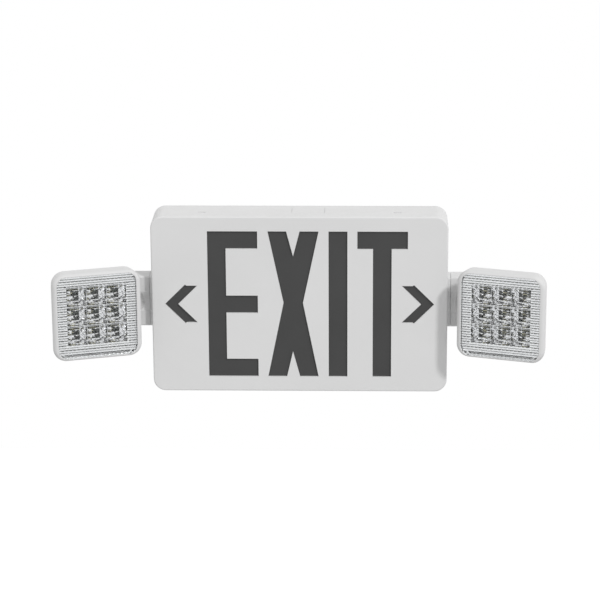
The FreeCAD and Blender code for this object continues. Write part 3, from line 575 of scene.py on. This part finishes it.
def makeLens(side):
    corner = bezel["mouthCorner"]
    halfX, halfZ = bezel["mouthX"] - lens["gap"], bezel["mouthZ"] - lens["gap"]
    behindLip = head["lensFront"] + bezel["lip"]
    back = behindLens(0.0)
    growX, growZ = lens["flangeHalf"] / halfX, lens["flangeHalf"] / halfZ
    rows = lensRows(halfZ, corner)
    step = lens["ribPitch"] / lens["ribSteps"]
    reach = int(lens["flangeHalf"] / step)
    columns = [i * step for i in range(-reach, reach + 1)]
    points, faces = [], []

    def pair(x, y, z):
        points.extend([(-x, y, z), (x, y, z)])
        return len(points) - 2, len(points) - 1

    front, rim, wide, wideBack, ribbed = [], [], [], [], []
    for z in rows:
        x = cornerReach(z, halfX, halfZ, corner)
        edge = x * growX
        front.append(pair(x, fluteFront(z), z))
        rim.append(pair(x, behindLip, z))
        wide.append(pair(edge, behindLip, z * growZ))
        wideBack.append(pair(edge, back, z * growZ))
        inner = []
        for column in columns:
            rise = ribBack(column) if abs(column) < edge and abs(z) < halfZ else 0
            points.append((max(-edge, min(edge, column)), back - rise, z * growZ))
            inner.append(len(points) - 1)
        ribbed.append([wideBack[-1][0]] + inner + [wideBack[-1][1]])
    for i in range(len(rows) - 1):
        faces.append((front[i][0], front[i][1], front[i + 1][1], front[i + 1][0]))
        low, high = ribbed[i], ribbed[i + 1]
        faces += [(low[k + 1], low[k], high[k], high[k + 1]) for k in range(len(low) - 1)]
        for inner, outer in ((front, rim), (rim, wide), (wide, wideBack)):
            faces.append((inner[i][1], outer[i][1], outer[i + 1][1], inner[i + 1][1]))
            faces.append((outer[i][0], inner[i][0], inner[i + 1][0], outer[i + 1][0]))
    for i in (0, len(rows) - 1):
        for inner, outer in ((front, rim), (rim, wide)):
            faces.append((inner[i][0], outer[i][0], outer[i][1], inner[i][1]))
        faces.append((wide[i][0], *ribbed[i], wide[i][1]))
    piece = meshFrom(side + "Lens", points, faces)
    shadeSmooth(piece, lens["sharp"])
    return piece


# Reflector: thin plated sheet with nine bowls, each open round its lamp, and a skirt outside

bowls = {
    "gap": 0.25, "pitch": 20.2, "wall": 0.3, "depth": 12.0, "mouth": 13.8, "floor": 5.7,
    "cells": 34, "crisp": 0.02, "blockHalf": 31.6, "skirt": 12.5, "sheet": 0.4, "sharp": 40,
}


def bowlCentre(x, z):
    # middle of the bowl that a point belongs to
    pitch = bowls["pitch"]
    return [max(-1, min(1, round(value / pitch))) * pitch for value in (x, z)]


def bowlDepth(x, z):
    # depth behind the rims between the bowls
    b = bowls
    middleX, middleZ = bowlCentre(x, z)
    dx, dz = x - middleX, z - middleZ
    limit = (b["pitch"] - b["wall"]) / 2
    r = math.hypot(dx, dz)
    if max(abs(dx), abs(dz)) > limit + 1e-6 or r >= b["mouth"]:
        return 0.0
    rise = (b["mouth"] ** 2 - r ** 2) / (b["mouth"] ** 2 - b["floor"] ** 2)
    return b["depth"] * min(rise, 1.0)


def gridLines():
    # grid lines of the bowls, doubled at each wall so that the walls stay crisp
    b = bowls
    limit = (b["pitch"] - b["wall"]) / 2
    lines = [-b["blockHalf"], b["blockHalf"]]
    for column in (-1, 0, 1):
        middle = column * b["pitch"]
        lines += [middle - limit + 2 * limit * step / b["cells"] for step in range(b["cells"] + 1)]
        lines += [middle - limit - b["crisp"], middle + limit + b["crisp"]]
    return sorted(set(round(value, 4) for value in lines))


def onBowlEdge(x, z):
    # move a grid point that is close to the hole of its bowl onto the hole's edge
    middleX, middleZ = bowlCentre(x, z)
    dx, dz = x - middleX, z - middleZ
    r = math.hypot(dx, dz)
    if abs(r - bowls["floor"]) > bowls["pitch"] / bowls["cells"] / 2 or r == 0:
        return x, z, r < bowls["floor"]
    scale = bowls["floor"] / r
    return middleX + dx * scale, middleZ + dz * scale, True


def makeReflector(side):
    front = behindLens(bowls["gap"])
    lines = gridLines()
    count = len(lines)
    last = count - 1
    points, inHole = [], []
    for z in lines:
        for x in lines:
            px, pz, hole = onBowlEdge(x, z)
            points.append((px, front + bowlDepth(px, pz), pz))
            inHole.append(hole)
    faces = []
    for row in range(last):
        for column in range(last):
            low, high = row * count + column, (row + 1) * count + column
            quad = (low, low + 1, high + 1, high)
            if not all(inHole[k] for k in quad):
                faces.append(quad)
    edge = [k for k in range(last)] + [k * count + last for k in range(last)]
    edge += [last * count + k for k in range(last, 0, -1)] + [k * count for k in range(last, 0, -1)]
    start = len(points)
    points += [(points[k][0], front + bowls["skirt"], points[k][2]) for k in edge]
    for k in range(len(edge)):
        after = (k + 1) % len(edge)
        faces.append((edge[k], edge[after], start + after, start + k))
    piece = meshFrom(side + "Reflector", points, faces)
    thick = piece.modifiers.new("thick", "SOLIDIFY")
    thick.thickness = bowls["sheet"] * mm
    thick.offset = 0
    settle(piece)
    shadeSmooth(piece, bowls["sharp"])
    return piece


# Satin plate round the bowls, behind the edge of the lens

plate = {"gap": 0.05, "half": 31.7, "corner": 2.0, "cornerSteps": 10, "thick": 0.8}


def makePlate(side):
    front = behindLens(plate["gap"])
    back = front + plate["thick"]
    outer = roundedRing(lens["flangeHalf"], lens["flangeHalf"], head["corner"] - head["wall"],
                        plate["cornerSteps"])
    inner = roundedRing(plate["half"], plate["half"], plate["corner"], plate["cornerSteps"])
    levels = [(outer, front), (outer, back), (inner, back), (inner, front)]
    rings = [[(x, y, z) for x, z in outline] for outline, y in levels]
    piece = meshFrom(side + "ReflectorPlate", *joinRings(rings, True))
    shadeRound(piece)
    return piece


def addToHead(piece, side, finishName, replaced=()):
    pin = Vector(joints[sides[side]["joint"]]["pos_m"])
    turn = Matrix.Rotation(math.radians(sides[side]["turn"] * head["yaw"]), 4, "Z")
    piece.data.transform(Matrix.Translation(pin) @ turn)
    piece.data.update()
    finish(piece, materials[finishName], sides[side]["body"], replaced)


for side in sides:
    addToHead(makeLens(side), side, "lens", [side + "_head_lens"])
    addToHead(makeBezel(side), side, "head_housing", [side + "_head_bezel"])
    addToHead(makeReflector(side), side, "reflector", [side + "_head_reflector"])
    addToHead(makePlate(side), side, "plate")
    print(side, "lens, bezel and reflector made")


# Floor, light and camera

studio = {
    "floor": -0.70, "floorSize": 2.8, "floorColour": (0.6, 0.6, 0.6), "floorSeen": (0.9, 0.9, 0.9),
    "floorGlow": 0.45,
    "sunTowards": (0.76, -1.0, 1.1), "sunStrength": 1.46, "sunAngle": 6.0, "sunDistance": 2,
    "sky": 0.62,
    # glossy surfaces see a white sky with one dark band, low in front
    "mirrorSky": (0.0, 1.0), "mirrorBand": (-0.5, -0.3), "mirrorUnder": (-0.88, -0.76), "mirrorFront": 0.1,
}
camera = {
    "target": (0.0005737, -0.0445, 0.0053015), "distance": 2.38086, "azimuth": 1.78523, "elevation": 17.0,
    "roll": -0.32835, "lens": 142.405, "sensor": 36.0, "clip": (0.05, 100.0),
}


def makeFloor():
    size = studio["floorSize"] / 2
    mesh = bpy.data.meshes.new("studioFloor")
    corners = [(x, y, 0) for x, y in rectangle(-size, size, -size, size)]
    mesh.from_pydata(corners, [], [(0, 1, 2, 3)])
    floor = bpy.data.objects.new("studioFloor", mesh)
    floor.location.z = studio["floor"]
    scene.collection.objects.link(floor)
    material = bpy.data.materials.new("studioFloorFinish")
    material.use_nodes = True
    tree = material.node_tree
    tree.nodes.clear()
    output = addNode(tree, "ShaderNodeOutputMaterial")
    seen = addNode(tree, "ShaderNodeLightPath")
    face = addNode(tree, "ShaderNodeNewGeometry")
    matt = addNode(tree, "ShaderNodeBsdfDiffuse", values={"Color": (*studio["floorColour"], 1)})
    bright = addNode(tree, "ShaderNodeBsdfDiffuse", values={"Color": (*studio["floorSeen"], 1)})
    glow = addNode(tree, "ShaderNodeEmission", values={
        "Color": (1, 1, 1, 1), "Strength": studio["floorGlow"]})
    clear = addNode(tree, "ShaderNodeBsdfTransparent")
    both = addNode(tree, "ShaderNodeAddShader")
    choose = addNode(tree, "ShaderNodeMixShader")
    mirrored = addNode(tree, "ShaderNodeMixShader")
    direct = addNode(tree, "ShaderNodeMath", {"operation": "MAXIMUM"})
    through = addNode(tree, "ShaderNodeMath", {"operation": "MAXIMUM"})  # glossy rays, and a view from below
    tree.links.new(seen.outputs["Is Camera Ray"], direct.inputs[0])
    tree.links.new(seen.outputs["Is Transmission Ray"], direct.inputs[1])
    tree.links.new(seen.outputs["Is Glossy Ray"], through.inputs[0])
    tree.links.new(face.outputs["Backfacing"], through.inputs[1])
    tree.links.new(direct.outputs["Value"], choose.inputs["Fac"])
    tree.links.new(bright.outputs["BSDF"], both.inputs[0])
    tree.links.new(glow.outputs["Emission"], both.inputs[1])
    tree.links.new(matt.outputs["BSDF"], choose.inputs[1])
    tree.links.new(both.outputs["Shader"], choose.inputs[2])
    tree.links.new(through.outputs["Value"], mirrored.inputs["Fac"])
    tree.links.new(choose.outputs["Shader"], mirrored.inputs[1])
    tree.links.new(clear.outputs["BSDF"], mirrored.inputs[2])
    tree.links.new(mirrored.outputs["Shader"], output.inputs["Surface"])
    mesh.materials.append(material)


def makeSky():
    world = bpy.data.worlds.new("studioSky")
    scene.world = world
    world.use_nodes = True
    tree = world.node_tree
    tree.nodes.clear()
    output = addNode(tree, "ShaderNodeOutputWorld")
    seen = addNode(tree, "ShaderNodeLightPath")
    place = addNode(tree, "ShaderNodeTexCoord")
    split = addNode(tree, "ShaderNodeSeparateXYZ")
    low, high = studio["mirrorSky"]
    start, end = studio["mirrorBand"]
    deepest, deep = studio["mirrorUnder"]
    lift = addNode(tree, "ShaderNodeMath", {"operation": "MULTIPLY_ADD"})
    lift.inputs[1].default_value = studio["mirrorFront"]
    shade = addNode(tree, "ShaderNodeMapRange", {"interpolation_type": "SMOOTHSTEP"}, {
        "From Min": start, "From Max": end, "To Min": low, "To Max": high})
    under = addNode(tree, "ShaderNodeMapRange", {"interpolation_type": "SMOOTHSTEP"}, {
        "From Min": deepest, "From Max": deep, "To Min": high, "To Max": low})
    band = addNode(tree, "ShaderNodeMath", {"operation": "MAXIMUM"})
    soft = addNode(tree, "ShaderNodeBackground", values={"Color": (1, 1, 1, 1), "Strength": studio["sky"]})
    white = addNode(tree, "ShaderNodeBackground", values={"Color": (1, 1, 1, 1), "Strength": 1.0})
    faded = addNode(tree, "ShaderNodeBackground", values={"Color": (1, 1, 1, 1)})
    direct = addNode(tree, "ShaderNodeMath", {"operation": "MAXIMUM"})
    choose = addNode(tree, "ShaderNodeMixShader")
    mirrored = addNode(tree, "ShaderNodeMixShader")
    tree.links.new(place.outputs["Generated"], split.inputs["Vector"])
    tree.links.new(split.outputs["Y"], lift.inputs[0])
    tree.links.new(split.outputs["Z"], lift.inputs[2])
    tree.links.new(lift.outputs["Value"], shade.inputs["Value"])
    tree.links.new(split.outputs["Z"], under.inputs["Value"])
    tree.links.new(shade.outputs["Result"], band.inputs[0])
    tree.links.new(under.outputs["Result"], band.inputs[1])
    tree.links.new(band.outputs["Value"], faded.inputs["Strength"])
    tree.links.new(seen.outputs["Is Camera Ray"], direct.inputs[0])
    tree.links.new(seen.outputs["Is Transmission Ray"], direct.inputs[1])
    tree.links.new(direct.outputs["Value"], choose.inputs["Fac"])
    tree.links.new(soft.outputs["Background"], choose.inputs[1])
    tree.links.new(white.outputs["Background"], choose.inputs[2])
    tree.links.new(seen.outputs["Is Glossy Ray"], mirrored.inputs["Fac"])
    tree.links.new(choose.outputs["Shader"], mirrored.inputs[1])
    tree.links.new(faded.outputs["Background"], mirrored.inputs[2])
    tree.links.new(mirrored.outputs["Shader"], output.inputs["Surface"])


def makeSun():
    light = bpy.data.lights.new("keySun", "SUN")
    light.energy = studio["sunStrength"]
    light.angle = math.radians(studio["sunAngle"])
    lamp = bpy.data.objects.new("keySun", light)
    towards = Vector(studio["sunTowards"]).normalized()
    lamp.rotation_euler = towards.to_track_quat("Z", "Y").to_euler()
    lamp.location = towards * studio["sunDistance"]
    lamp.visible_glossy = False
    scene.collection.objects.link(lamp)


def makeCamera():
    view = bpy.data.cameras.new("viewCamera")
    view.sensor_width = camera["sensor"]
    view.lens = camera["lens"]
    view.clip_start, view.clip_end = camera["clip"]
    eye = bpy.data.objects.new("viewCamera", view)
    azimuth, elevation = math.radians(camera["azimuth"]), math.radians(camera["elevation"])
    back = Vector((math.sin(azimuth) * math.cos(elevation), -math.cos(azimuth) * math.cos(elevation),
                   math.sin(elevation)))
    right = (-back).cross(Vector((0, 0, 1))).normalized()
    up = right.cross(-back)
    roll = math.radians(camera["roll"])
    across = right * math.cos(roll) + up * math.sin(roll)
    upright = up * math.cos(roll) - right * math.sin(roll)
    place = Matrix((across, upright, back)).transposed().to_4x4()
    place.translation = Vector(camera["target"]) + back * camera["distance"]
    eye.matrix_world = place
    scene.collection.objects.link(eye)
    scene.camera = eye


makeFloor()
makeSky()
makeSun()
makeCamera()
scene.view_settings.view_transform = "Standard"
print("floor, light and camera set")
